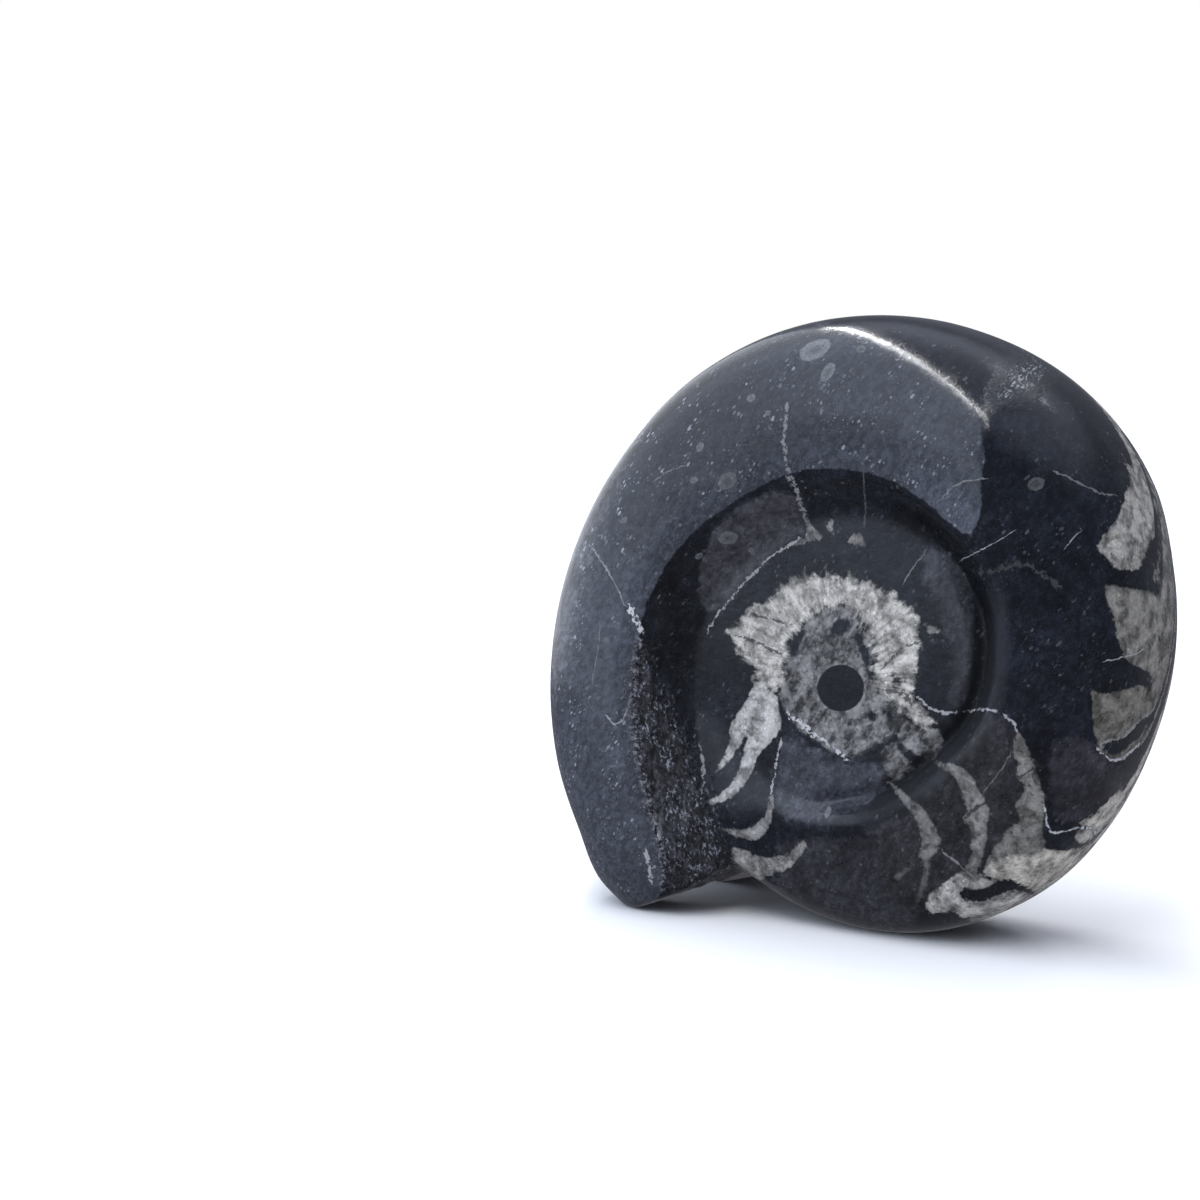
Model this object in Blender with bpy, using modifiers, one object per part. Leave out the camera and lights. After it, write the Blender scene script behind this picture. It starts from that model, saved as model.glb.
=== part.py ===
"""A polished fossil ammonite, standing on its lip lobes and on a small flat spot ground on its keel.

Run it with: blender --background --python part.py
Lengths are given in millimetres and angles in degrees, and MM turns a length into Blender's metres.
The coil lies in the XZ plane and its axis runs along Y. Angles along the whorl are measured about that
axis from +X towards +Z, and the shell grows with the angle, so the aperture is at the lower left.
"""

import math

import bmesh
import bpy
from mathutils import Matrix, Vector

MM = 0.001

# The coil's axis, above the middle of the footprint.
COIL_X = 3.3
COIL_Z = 27.7

# One row for each station along the last whorl: angle, radius of the venter, radius of the umbilical
# shoulder, and half of the whorl's thickness.
WHORL_STATIONS = (
    (-160, 26.9, 15.0, 9.4),
    (-120, 27.4, 16.0, 10.2),
    (-100, 27.9, 16.3, 10.5),
    (-84, 28.4, 16.5, 10.8),
    (-55, 29.1, 16.5, 11.1),
    (-30, 29.4, 16.7, 11.5),
    (-10, 30.0, 18.2, 11.9),
    (20, 32.7, 20.0, 12.4),
    (35, 34.8, 20.9, 12.7),
    (50, 36.1, 21.5, 13.0),
    (70, 37.0, 21.7, 13.3),
    (90, 37.5, 21.3, 13.7),
    (120, 37.2, 21.1, 14.2),
    (145, 36.6, 21.5, 14.6),
    (170, 37.2, 22.2, 15.0),
    (200, 38.8, 23.3, 15.5),
    (214, 39.2, 24.8, 15.4),
    (225, 40.7, 26.8, 14.2),
    (234, 40.4, 29.2, 12.2),
)
STATION_STEP = 4.0

# Towards the aperture the rings lean, so the lip's outer edge ends before its inner one, and they also
# run farther on the +Y side, whose lip lobe is the longer one.
LEAN_START = 195.0
LEAN_RADIUS = 31.0
LEAN_PER_MM = 0.9
LONG_LOBE_ADVANCE = 2.2
LONG_LOBE_Y = 9.0

# The whorl's section: where its flank is thickest, how square it is, and the wall down to the inner whorls.
FLANK_CREST = 0.38
VENTER_POWER = 2.3
FLANK_POWER = 2.6
FLANK_FALL = 0.035
SHOULDER_ROUND = 1.2
WALL_RUN = 4.2
WALL_FOOT_SHARE = 0.8
OUTER_STEPS = 9

# The inner whorls, ground almost flat, which fill the coil.
FLOOR_RADIUS = 25.0
FLOOR_EDGE = 9.2
FLOOR_CENTRE = 9.4
FLOOR_FACETS = 72

# The sinus between the two lip lobes, a flattened cone along the venter.
SINUS_APEX = 192.0
SINUS_MOUTH = 228.0
SINUS_HALF_WIDTH = 6.6
SINUS_DEPTH = 10.5
SINUS_OVERRUN = 1.4

# The block that grinds the flat spot.
GROUND_SIZE = 120.0

# How finely the one solid is rebuilt, how much its edges are rounded, and how few faces it keeps.
VOXEL = 0.7
ROUNDING_PASSES = 10
FACE_SHARE = 0.105

STONE_COLOUR = (0.045, 0.048, 0.058, 1.0)
STONE_ROUGHNESS = 0.28


def clear_scene():
    for item in list(bpy.data.objects):
        bpy.data.objects.remove(item, do_unlink=True)


def add_collection(name):
    group = bpy.data.collections.new(name)
    bpy.context.scene.collection.children.link(group)
    return group


def add_object(name, mesh, group):
    item = bpy.data.objects.new(name, mesh)
    group.objects.link(item)
    return item


def coil_point(angle, radius, y=0.0):
    """A point in metres, from its angle and radius about the coil's axis and its height along it."""
    turn = math.radians(angle)
    return Vector((COIL_X + radius * math.cos(turn), y, COIL_Z + radius * math.sin(turn))) * MM


def station_values(angle):
    """Venter radius, shoulder radius and half thickness, read from a smooth curve through the stations."""
    last = len(WHORL_STATIONS) - 1
    low = max(i for i in range(last) if WHORL_STATIONS[i][0] <= angle + 1e-6)
    rows = [WHORL_STATIONS[min(max(low + shift, 0), last)] for shift in (-1, 0, 1, 2)]
    span = rows[2][0] - rows[1][0]
    t = (angle - rows[1][0]) / span
    values = []
    for column in (1, 2, 3):
        before, start, end, after = (row[column] for row in rows)
        slope_in = (end - before) * span / max(rows[2][0] - rows[0][0], 1)
        slope_out = (after - start) * span / max(rows[3][0] - rows[1][0], 1)
        values.append(
            (2 * t**3 - 3 * t**2 + 1) * start
            + (t**3 - 2 * t**2 + t) * slope_in
            + (3 * t**2 - 2 * t**3) * end
            + (t**3 - t**2) * slope_out
        )
    return values


def whorl_section(angle):
    """The section at one angle as (radius, y) points, round from the venter over one flank and back."""
    venter, shoulder, thickness = station_values(angle)
    width = venter - shoulder
    crest = shoulder + FLANK_CREST * width
    upper = []
    for step in range(OUTER_STEPS):
        turn = math.radians(90.0) * step / (OUTER_STEPS - 1)
        across = math.cos(turn) ** (2.0 / VENTER_POWER)
        height = math.sin(turn) ** (2.0 / FLANK_POWER)
        upper.append((crest + (venter - crest) * across, thickness * height))
    rim = thickness * (1 - FLANK_FALL)
    upper.append(((shoulder + crest) / 2, thickness * (1 - FLANK_FALL / 3)))
    upper.append((shoulder + SHOULDER_ROUND, rim))
    upper.append((shoulder, rim - SHOULDER_ROUND / 2))
    upper.append((shoulder - WALL_RUN, min(FLOOR_EDGE, WALL_FOOT_SHARE * thickness)))
    upper.append((shoulder - WALL_RUN - SHOULDER_ROUND, thickness / 2))
    lower = [(radius, -y) for radius, y in reversed(upper)]
    return upper + lower[:-1]


def sweep_whorl(mesh):
    """Lofts the growing section along the coil, one ring of points after another, and closes both ends."""
    first, last = WHORL_STATIONS[0][0], WHORL_STATIONS[-1][0]
    count = round((last - first) / STATION_STEP)
    shell = bmesh.new()
    rings = []
    for step in range(count + 1):
        angle = first + (last - first) * step / count
        nearness = max(0.0, angle - LEAN_START) / (last - LEAN_START)
        ring = []
        for radius, y in whorl_section(angle):
            lean = LEAN_PER_MM * (radius - LEAN_RADIUS)
            advance = LONG_LOBE_ADVANCE * min(max(y / LONG_LOBE_Y, 0.0), 1.0)
            ring.append(shell.verts.new(coil_point(angle + nearness * (advance - lean), radius, y)))
        rings.append(ring)
    for ring, following in zip(rings, rings[1:]):
        for i in range(len(ring)):
            j = (i + 1) % len(ring)
            shell.faces.new((ring[i], ring[j], following[j], following[i]))
    shell.faces.new(rings[0])
    shell.faces.new(reversed(rings[-1]))
    bmesh.ops.recalc_face_normals(shell, faces=shell.faces)
    shell.to_mesh(mesh)
    shell.free()


def add_floor(mesh):
    """Adds the inner whorls to the mesh: a round block whose two faces rise a little to their middle."""
    floor = bmesh.new()
    floor.from_mesh(mesh)
    place = Matrix.Translation(coil_point(0, 0)) @ Matrix.Rotation(math.radians(90), 4, "X")
    made = bmesh.ops.create_cone(
        floor,
        cap_ends=True,
        cap_tris=True,
        segments=FLOOR_FACETS,
        radius1=FLOOR_RADIUS * MM,
        radius2=FLOOR_RADIUS * MM,
        depth=2 * FLOOR_EDGE * MM,
        matrix=place,
    )
    centre = coil_point(0, 0)
    for vert in made["verts"]:
        if (vert.co - centre).length < (FLOOR_EDGE + 1) * MM:
            vert.co.y *= FLOOR_CENTRE / FLOOR_EDGE
    floor.to_mesh(mesh)
    floor.free()


def ground_cutter(group):
    """A big block with its upper face on the ground plane."""
    mesh = bpy.data.meshes.new("ground_cutter")
    block = bmesh.new()
    bmesh.ops.create_cube(block, size=GROUND_SIZE * MM)
    block.transform(Matrix.Translation((0, 0, -GROUND_SIZE * MM / 2)))
    block.to_mesh(mesh)
    block.free()
    return add_object("ground_cutter", mesh, group)


def sinus_cutter(group):
    """A flattened cone along the venter, its point at the back of the sinus and its base past the lip."""
    apex = coil_point(SINUS_APEX, station_values(SINUS_APEX)[0] + 1.0)
    mouth = coil_point(SINUS_MOUTH, station_values(SINUS_MOUTH)[0] + 1.0)
    reach = (mouth - apex).length * SINUS_OVERRUN
    mesh = bpy.data.meshes.new("sinus_cutter")
    cone = bmesh.new()
    bmesh.ops.create_cone(
        cone,
        cap_ends=True,
        segments=32,
        radius1=0.05 * MM,
        radius2=SINUS_OVERRUN * MM,
        depth=reach,
        matrix=Matrix.Translation((0, 0, reach / 2)),
    )
    bmesh.ops.scale(cone, vec=(SINUS_DEPTH, SINUS_HALF_WIDTH, 1), verts=cone.verts)
    along = (mouth - apex).normalized()
    across = Vector((0, 1, 0))
    inward = across.cross(along)
    frame = Matrix((inward, across, along)).transposed().to_4x4()
    cone.transform(Matrix.Translation(apex) @ frame)
    cone.to_mesh(mesh)
    cone.free()
    return add_object("sinus_cutter", mesh, group)


def stone_material():
    material = bpy.data.materials.new("polished_stone")
    material.use_nodes = True
    shader = material.node_tree.nodes["Principled BSDF"]
    shader.inputs["Base Color"].default_value = STONE_COLOUR
    shader.inputs["Roughness"].default_value = STONE_ROUGHNESS
    shader.inputs["Metallic"].default_value = 0.0
    return material


def cut_with(item, cutter):
    cutter.hide_render = True
    cutter.display_type = "WIRE"
    cut = item.modifiers.new("cut_" + cutter.name, "BOOLEAN")
    cut.operation = "DIFFERENCE"
    cut.object = cutter


def rebuild(item, name):
    skin = item.modifiers.new(name, "REMESH")
    skin.mode = "VOXEL"
    skin.voxel_size = VOXEL * MM


def build_ammonite():
    clear_scene()
    parts = add_collection("fossil_ammonite")
    cutters = add_collection("cutters")

    mesh = bpy.data.meshes.new("ammonite")
    sweep_whorl(mesh)
    add_floor(mesh)
    mesh.materials.append(stone_material())
    ammonite = add_object("ammonite", mesh, parts)

    sinus = sinus_cutter(cutters)
    ground = ground_cutter(cutters)

    rebuild(ammonite, "join_whorls")
    cut_with(ammonite, sinus)
    rebuild(ammonite, "one_skin")
    rounding = ammonite.modifiers.new("polish", "SMOOTH")
    rounding.factor = 0.5
    rounding.iterations = ROUNDING_PASSES
    fewer = ammonite.modifiers.new("fewer_faces", "DECIMATE")
    fewer.ratio = FACE_SHARE
    cut_with(ammonite, ground)


build_ammonite()
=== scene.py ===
"""Looks of the polished fossil ammonite: one stone, black limestone with white calcite in its chambers."""

import math

import bmesh
import bpy
import numpy as np
from mathutils import Matrix, Vector, noise


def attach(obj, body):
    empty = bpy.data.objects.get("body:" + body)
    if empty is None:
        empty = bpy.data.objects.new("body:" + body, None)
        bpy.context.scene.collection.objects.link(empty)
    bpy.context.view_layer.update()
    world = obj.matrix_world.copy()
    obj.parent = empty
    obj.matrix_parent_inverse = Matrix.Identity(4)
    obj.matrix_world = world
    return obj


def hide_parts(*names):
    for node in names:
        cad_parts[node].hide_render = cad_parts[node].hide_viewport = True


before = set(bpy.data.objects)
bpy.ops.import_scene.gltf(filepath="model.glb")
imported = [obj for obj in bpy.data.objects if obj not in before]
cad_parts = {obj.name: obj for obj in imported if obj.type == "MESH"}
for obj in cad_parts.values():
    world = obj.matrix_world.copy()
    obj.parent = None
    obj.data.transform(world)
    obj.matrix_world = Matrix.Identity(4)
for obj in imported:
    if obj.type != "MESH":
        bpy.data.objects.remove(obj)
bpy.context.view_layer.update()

MM = 0.001

# The coil's axis, which runs along Y, in millimetres above and beside the middle of the footprint.
COIL_X = 3.3
COIL_Z = 27.7

# The photograph's camera. Its distance is to the coil's axis, its aim is where the axis falls in the frame,
# and a pixel is one of the photograph's 1200.
FRAME_PIXELS = 1200
FOCAL_PIXELS = 2200.0
SENSOR_WIDTH = 36.0
NEAREST_SEEN = 10.0
CAMERA_YAW = 35.0
CAMERA_PITCH = 5.546
AXIS_RIGHT = 29.96
AXIS_AHEAD = 234.04
AXIS_BELOW = 29.78

# The last whorl: angle, radius of the venter, radius of the umbilical shoulder, half thickness. Up to -10
# degrees the shoulder lies a little further in than on the CAD piece, as the photograph shows it.
WHORL_STATIONS = (
    (-160, 26.9, 15.0, 9.4),
    (-120, 27.4, 15.6, 10.2),
    (-100, 27.9, 15.0, 10.5),
    (-84, 28.4, 14.5, 10.8),
    (-55, 29.1, 14.4, 11.1),
    (-30, 29.4, 15.4, 11.5),
    (-10, 30.0, 17.5, 11.9),
    (20, 32.7, 20.0, 12.4),
    (35, 34.8, 20.9, 12.7),
    (50, 36.1, 21.5, 13.0),
    (70, 37.0, 21.7, 13.3),
    (90, 37.5, 21.3, 13.7),
    (120, 37.2, 21.1, 14.2),
    (145, 36.6, 21.5, 14.6),
    (170, 37.2, 22.2, 15.0),
    (200, 38.8, 23.3, 15.5),
    (214, 39.2, 24.8, 15.4),
    (225, 40.7, 26.8, 14.2),
    (234, 40.4, 29.2, 12.2),
)
STATION_STEP = 2.0
SECTION_POINTS = 64
FLANK_CREST = 0.38
VENTER_POWER = 2.3
FLANK_POWER = 2.6
FLANK_FALL = 0.02
SHOULDER_ROUND = 1.0

# Points of the section between crest and shoulder: how far in they lie, and how much of the flank's fall is
# done there. Then how far the rounded shoulder drops, where the wall bends, the most that its foot can be of
# the half thickness, and how many steps of each side's points lie past the crest.
FLANK_POINTS = ((0.35, 0.2), (0.7, 0.55))
SHOULDER_DROP = 0.4
WALL_BEND = (0.4, 0.3)
WALL_FOOT_SHARE = 0.8
POINTS_PAST_CREST = 8

# The umbilical wall runs inward by the first value and by the second for each millimetre of its depth, and
# by the third at most.
WALL_RUN_LEAST = 0.4
WALL_RUN_PER_DEPTH = 0.8
WALL_RUN_MOST = 4.2

# The lip: its rings lean, and run farther on the +Y side, whose lobe is the longer one.
LEAN_START = 195.0
LEAN_RADIUS = 31.0
LEAN_PER_MM = 0.9
LONG_LOBE_ADVANCE = 2.2
LONG_LOBE_Y = 9.0

# The sinus between the lobes: where it starts and ends along the venter, its half width and its depth there.
# The cone that cuts it runs on past the lip by the overrun, and its middle lies outside the venter.
SINUS_APEX = 192.0
SINUS_MOUTH = 228.0
SINUS_HALF_WIDTH = 6.6
SINUS_DEPTH = 10.5
SINUS_OVERRUN = 1.4
SINUS_CLEARANCE = 1.0
SINUS_TIP = 0.05
SINUS_SIDES = 64

# The inner whorls' ground face.
FLOOR_RADIUS = 25.0
FLOOR_EDGE = 9.2
FLOOR_CENTRE = 9.4
FLOOR_SIDES = 96

# How finely the joined whorls are rebuilt as one skin, and how much its edges are rounded.
SKIN_VOXEL = 0.41
ROUNDING_PASSES = 12
ROUNDING_STRENGTH = 0.5

# How many of the photograph's pixels make a millimetre on the stone.
PIXELS_PER_MM = 9.4

# White and grey calcite, traced on the photograph in its pixels. Each area's first numbers are how pale it
# is, how warm, and how far its edge wanders in millimetres.
CALCITE_AREAS = (
    (0.37, 0.45, 0.5, (  # crown
        (751, 681), (757, 671), (739, 654), (731, 644), (725, 630), (739, 620), (747, 613), (751, 607),
        (765, 603), (776, 591), (786, 581), (800, 573), (816, 575), (833, 573), (841, 581), (851, 571),
        (857, 579), (874, 583), (886, 591), (894, 591), (900, 601), (912, 609), (921, 620), (919, 640),
        (921, 654), (916, 669), (919, 681), (910, 693), (919, 703), (931, 713), (937, 722), (935, 730),
        (924, 733), (916, 722), (903, 712), (890, 700), (872, 690), (870, 681), (874, 660), (870, 648),
        (870, 636), (863, 624), (853, 615), (849, 609), (837, 607), (821, 613), (804, 624), (792, 636),
        (786, 644), (788, 656), (784, 671), (782, 690), (770, 694),
    )),
    (0.37, 0.1, 0.07, (  # claw
        (755, 681), (770, 688), (779, 699), (779, 705), (782, 720), (781, 730), (772, 742), (759, 754),
        (757, 760), (752, 772), (745, 784), (736, 796), (722, 803), (708, 806), (705, 801), (716, 796),
        (728, 788), (735, 776), (739, 765), (742, 750), (747, 738), (740, 745), (733, 757), (722, 768),
        (714, 774), (718, 764), (726, 752), (730, 738), (728, 730), (733, 720), (739, 711), (748, 697),
    )),
    (0.25, 0.2, 0.14, (  # leaf
        (732, 846), (745, 850), (757, 855), (768, 858), (780, 855), (791, 851), (803, 838), (807, 842),
        (805, 853), (796, 863), (785, 871), (769, 877), (758, 883), (748, 877), (738, 868), (728, 857),
    )),
    (0.24, 0.1, 0.12, (  # second claw
        (772, 785), (774, 800), (773, 815), (770, 828), (763, 837), (754, 842), (746, 840), (734, 836),
        (720, 831), (722, 827), (736, 829), (748, 828), (758, 823), (765, 815), (768, 802), (770, 785),
    )),
    (0.2, 0.1, 0.12, (  # star
        (801, 515), (805, 522), (807, 530), (804, 538), (794, 542), (783, 549), (800, 546), (812, 541),
        (824, 540), (819, 532), (812, 524), (808, 517),
    )),
    (0.2, 0.2, 0.1, ((824, 529), (831, 516), (836, 522), (833, 530), (836, 537), (829, 532))),  # arrow
    (0.2, 0.2, 0.15, ((845, 541), (863, 527), (866, 551), (857, 545))),  # large tooth
    (0.2, 0.3, 0.15, ((921, 619), (931, 626), (944, 630), (931, 636), (926, 629))),  # small tooth
    (0.145, 0.1, 0.13, (  # first band
        (872, 768), (891, 781), (903, 791), (915, 801), (924, 809), (932, 819), (939, 832), (943, 843),
        (938, 851), (929, 861), (923, 862), (918, 853), (922, 843), (920, 833), (918, 824), (912, 814),
        (906, 806), (892, 789),
    )),
    (0.09, 0.2, 0.2, (  # first band tail
        (922, 860), (932, 862), (930, 873), (927, 888), (922, 899), (914, 912), (910, 909), (916, 896),
        (920, 886), (923, 873),
    )),
    (0.16, 0.2, 0.15, (  # second band
        (929, 758), (942, 762), (955, 764), (967, 769), (971, 777), (977, 786), (983, 796), (988, 802),
        (990, 814), (988, 826), (987, 839), (986, 849), (983, 861), (979, 869), (972, 880), (962, 878),
        (963, 868), (967, 862), (971, 853), (969, 845), (973, 835), (970, 827), (961, 822), (967, 810),
        (963, 796), (959, 788), (954, 776), (942, 770),
    )),
    (0.38, 0.3, 0.18, (  # white foot
        (964, 868), (950, 878), (942, 886), (928, 893), (925, 904), (926, 911), (942, 914), (954, 911),
        (960, 919), (986, 922), (1003, 916), (1023, 906), (1036, 896), (1020, 888), (1000, 893), (976, 904),
        (958, 895), (968, 886), (972, 878),
    )),
    (0.15, 0.4, 0.15, (  # third band
        (1017, 729), (1024, 738), (1030, 750), (1035, 766), (1039, 780), (1043, 792), (1046, 806),
        (1044, 818), (1043, 832), (1046, 844), (1046, 870), (1000, 872), (980, 871), (986, 861), (991, 849),
        (1002, 839), (1003, 833), (1011, 826), (1022, 822), (1017, 814), (1015, 802), (1023, 792),
        (1022, 782), (1015, 778), (1018, 765), (1013, 757), (1012, 749), (1015, 740),
    )),
    (0.37, 0.8, 0.2, (  # foot patch
        (992, 849), (1010, 838), (1030, 838), (1044, 846), (1056, 850), (1070, 850), (1082, 845),
        (1094, 846), (1104, 852), (1082, 876), (1058, 890), (1036, 896), (1030, 888), (1010, 880),
        (996, 880), (982, 874), (985, 862),
    )),
    (0.25, 0.3, 0.15, (  # grey wedge
        (965, 881), (974, 872), (983, 875), (996, 882), (991, 887), (974, 891), (966, 887),
    )),
    (0.38, 0.7, 0.15, (  # edge strip
        (1084, 848), (1094, 838), (1096, 831), (1083, 826), (1076, 824), (1093, 814), (1099, 808),
        (1111, 798), (1123, 788), (1131, 778), (1135, 769), (1142, 763), (1156, 762), (1170, 740),
        (1170, 790), (1140, 830), (1112, 862),
    )),
    (0.29, 0.4, 0.12, (  # upper patch
        (1117, 440), (1121, 455), (1127, 468), (1130, 480), (1128, 487), (1124, 497), (1122, 506),
        (1118, 515), (1115, 523), (1107, 530), (1100, 538), (1096, 546), (1101, 553), (1107, 559),
        (1113, 568), (1125, 572), (1136, 571), (1142, 567), (1145, 557), (1147, 549), (1151, 540),
        (1157, 531), (1166, 524), (1190, 520), (1185, 480), (1160, 440),
    )),
    (0.16, 0.3, 0.4, (  # speckled edge
        (1154, 560), (1160, 549), (1172, 543), (1192, 545), (1192, 606), (1174, 604), (1160, 592),
        (1154, 582),
    )),
    (0.18, 0.5, 0.12, (  # middle patch
        (1103, 587), (1107, 599), (1110, 610), (1113, 619), (1116, 633), (1119, 645), (1122, 653),
        (1128, 663), (1138, 667), (1149, 671), (1150, 690), (1150, 722), (1160, 735), (1190, 730),
        (1190, 600), (1173, 604), (1166, 598), (1158, 594), (1150, 590), (1140, 589), (1122, 587),
        (1112, 584),
    )),
    (0.13, 0.9, 0.12, (  # lower patch
        (1090, 689), (1091, 700), (1092, 716), (1094, 731), (1097, 748), (1104, 755), (1113, 762),
        (1124, 760), (1132, 752), (1145, 742), (1158, 735), (1160, 716), (1152, 690), (1140, 684),
        (1120, 690), (1104, 694),
    )),
    (0.33, 0.5, 0.1, ((1074, 836), (1079, 829), (1090, 828), (1096, 834), (1090, 843), (1079, 845))),  # blob
)

# Dark places that lie inside the calcite.
DARK_AREAS = (
    ((833, 622), (845, 617), (852, 620), (849, 629), (841, 635), (831, 632)),
    ((853, 636), (863, 634), (867, 646), (871, 658), (871, 680), (866, 672), (863, 659), (857, 647)),
    ((789, 657), (787, 644), (796, 633), (805, 627), (805, 637), (798, 646), (797, 657)),
    ((867, 713), (874, 708), (879, 718), (872, 724)),
    ((882, 709), (890, 711), (894, 720), (888, 723)),
    ((1174, 619), (1167, 624), (1163, 630), (1159, 639), (1162, 645), (1169, 640), (1178, 637)),
    ((1100, 747), (1111, 742), (1125, 739), (1131, 731), (1140, 722), (1150, 715), (1146, 727),
     (1138, 737), (1127, 747), (1119, 753), (1109, 753)),
    ((890, 684), (896, 676), (904, 677), (898, 684)),
    ((748, 733), (744, 748), (740, 764), (736, 775), (728, 786), (719, 791), (715, 783), (724, 770),
     (734, 757), (741, 745)),
)

# Mottled grey stone round the core and between the bands: how pale it is, then its outline.
GREY_AREAS = (
    (0.125, (
        (784, 671), (788, 656), (786, 644), (792, 636), (804, 624), (821, 612), (837, 606), (850, 608),
        (864, 624), (872, 640), (872, 664), (874, 690), (905, 700), (906, 716), (899, 727), (885, 741),
        (866, 752), (847, 758), (828, 748), (808, 738), (792, 724), (782, 706), (779, 690),
    )),
    (0.13, (
        (896, 738), (902, 724), (910, 720), (924, 733), (937, 724), (944, 742), (935, 760), (925, 757),
        (912, 752),
    )),
    (0.1, (
        (880, 752), (889, 742), (898, 746), (904, 759), (915, 767), (911, 772), (903, 770), (902, 779),
        (895, 783), (886, 773),
    )),
    (0.05, ((890, 882), (896, 873), (909, 865), (913, 868), (903, 878), (893, 885))),
)

# The body chamber's paler fill on the upper left of the last whorl, together with a painted sheen that stands
# in for the window's reflection there: its colour, how far its edge wanders, and its outline.
FILL_AND_SHEEN_COLOUR = (0.0262, 0.0292, 0.0365)
FILL_AND_SHEEN_WANDER = 0.12
FILL_AND_SHEEN = (
    (836, 332), (855, 331), (870, 334), (897, 346), (920, 359), (945, 381), (965, 399), (979, 415),
    (982, 440), (985, 455), (983, 470), (980, 490), (982, 503), (979, 520), (968, 539), (944, 517),
    (919, 496), (889, 479), (860, 470), (814, 468), (788, 474), (755, 488), (724, 508), (700, 526),
    (675, 551), (654, 585), (641, 618), (639, 640), (631, 690), (634, 740), (648, 800), (668, 880),
    (640, 930), (500, 930), (500, 280), (780, 280),
)

# Other places painted paler than the black stone: colour, how far the edge wanders, then the outline. The
# second and third are painted reflection of the window on the floor of the umbilicus.
PALER_AREAS = (
    (0.034, 0.034, 0.04, 0.35, (
        (790, 490), (800, 503), (806, 522), (801, 536), (780, 546), (757, 570), (731, 598), (716, 612),
        (705, 612), (697, 585), (702, 555), (714, 530), (736, 508), (764, 494),
    )),
    (0.026, 0.0275, 0.033, 0.6, (
        (930, 548), (946, 550), (962, 571), (971, 600), (973, 625), (971, 664), (967, 690), (957, 707),
        (950, 700), (952, 670), (948, 640), (940, 610), (930, 590), (922, 566),
    )),
    (0.038, 0.041, 0.052, 0.8, (
        (784, 735), (812, 748), (838, 762), (862, 762), (882, 764), (890, 778), (880, 792), (862, 806),
        (836, 818), (806, 820), (778, 816), (774, 780),
    )),
    (0.021, 0.0212, 0.025, 0.5, (
        (770, 850), (800, 836), (850, 842), (900, 815), (930, 830), (950, 870), (930, 900), (900, 940),
        (780, 930),
    )),
    (0.021, 0.021, 0.026, 0.5, (
        (1046, 745), (1080, 735), (1098, 752), (1120, 766), (1126, 782), (1092, 812), (1066, 824),
        (1052, 812),
    )),
    (0.018, 0.0175, 0.02, 0.5, (
        (985, 715), (1010, 722), (1035, 760), (1046, 800), (1046, 835), (1000, 845), (980, 870), (960, 885),
        (930, 900), (890, 905), (880, 850), (890, 824), (920, 800), (950, 772), (975, 735),
    )),
    (0.062, 0.064, 0.072, 1.0, (
        (540, 690), (546, 610), (560, 540), (580, 480), (600, 445), (618, 440), (620, 470), (606, 500),
        (600, 530), (586, 560), (584, 590), (572, 620), (566, 660), (556, 700),
    )),
)

# The umbilicus, inside its shoulder, where polish doesn't reach so well, and the wall round its right, which
# is painted near black as painted shade in the hollow.
UMBILICUS = (
    (788, 474), (824, 468), (860, 471), (889, 479), (919, 496), (944, 517), (965, 543), (982, 568),
    (992, 601), (997, 648), (995, 681), (986, 711), (975, 735), (950, 770), (920, 800), (890, 824),
    (860, 838), (835, 840), (800, 838), (740, 830), (690, 790), (655, 730), (641, 680), (641, 618),
    (654, 585), (675, 551), (700, 526), (724, 509), (755, 488),
)
SHADED_WALL = (
    (919, 500), (944, 521), (965, 546), (982, 571), (991, 602), (995, 640), (995, 664), (990, 700),
    (982, 722), (970, 742), (948, 760), (925, 782), (906, 800), (893, 811), (880, 819), (869, 816),
    (868, 803), (884, 791), (905, 776), (928, 764), (953, 741), (963, 707), (970, 691), (972, 664),
    (976, 624), (974, 599), (968, 575), (945, 550), (925, 535), (905, 530),
)

# Pale veins, chips and scratches, and dark cracks: half width in millimetres, how pale, and the line, traced
# in the photograph's pixels.
PALE_VEINS = (
    (0.2, 0.16, ((787, 407), (783, 440), (786, 456), (787, 471), (796, 487), (804, 515))),
    (0.13, 0.24, (
        (804, 536), (786, 548), (770, 556), (757, 571), (743, 583), (731, 599), (716, 615), (708, 631),
    )),
    (0.14, 0.26, (
        (919, 697), (929, 708), (942, 713), (956, 713), (970, 710), (991, 709), (1003, 714), (1011, 720),
        (1018, 731),
    )),
    (0.2, 0.42, ((790, 715), (808, 730), (829, 744), (846, 759))),
    (0.13, 0.3, ((781, 741), (777, 760), (774, 780), (772, 790))),
    (0.3, 0.035, ((983, 573), (998, 570), (1009, 567), (1021, 562), (1032, 567), (1043, 575), (1058, 586))),
    (0.12, 0.4, (
        (1044, 806), (1046, 815), (1047, 826), (1052, 833), (1064, 832), (1078, 828), (1090, 827),
        (1096, 833), (1097, 841),
    )),
    (0.12, 0.34, ((1098, 749), (1105, 756), (1113, 761), (1123, 759), (1131, 751), (1144, 741))),
    (0.12, 0.2, ((1100, 745), (1111, 740), (1125, 737), (1131, 729), (1140, 720), (1150, 713))),
    (0.1, 0.15, ((942, 851), (952, 859), (964, 869), (972, 876))),
    (0.24, 0.5, ((630, 608), (635, 621), (642, 630))),
    (0.22, 0.36, ((655, 764), (660, 790), (663, 812), (659, 838))),
    (0.16, 0.22, ((701, 748), (704, 768), (702, 790))),
    (0.16, 0.3, ((646, 852), (649, 866), (651, 880))),
    (0.14, 0.2, ((690, 805), (697, 822), (706, 838))),
)
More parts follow.
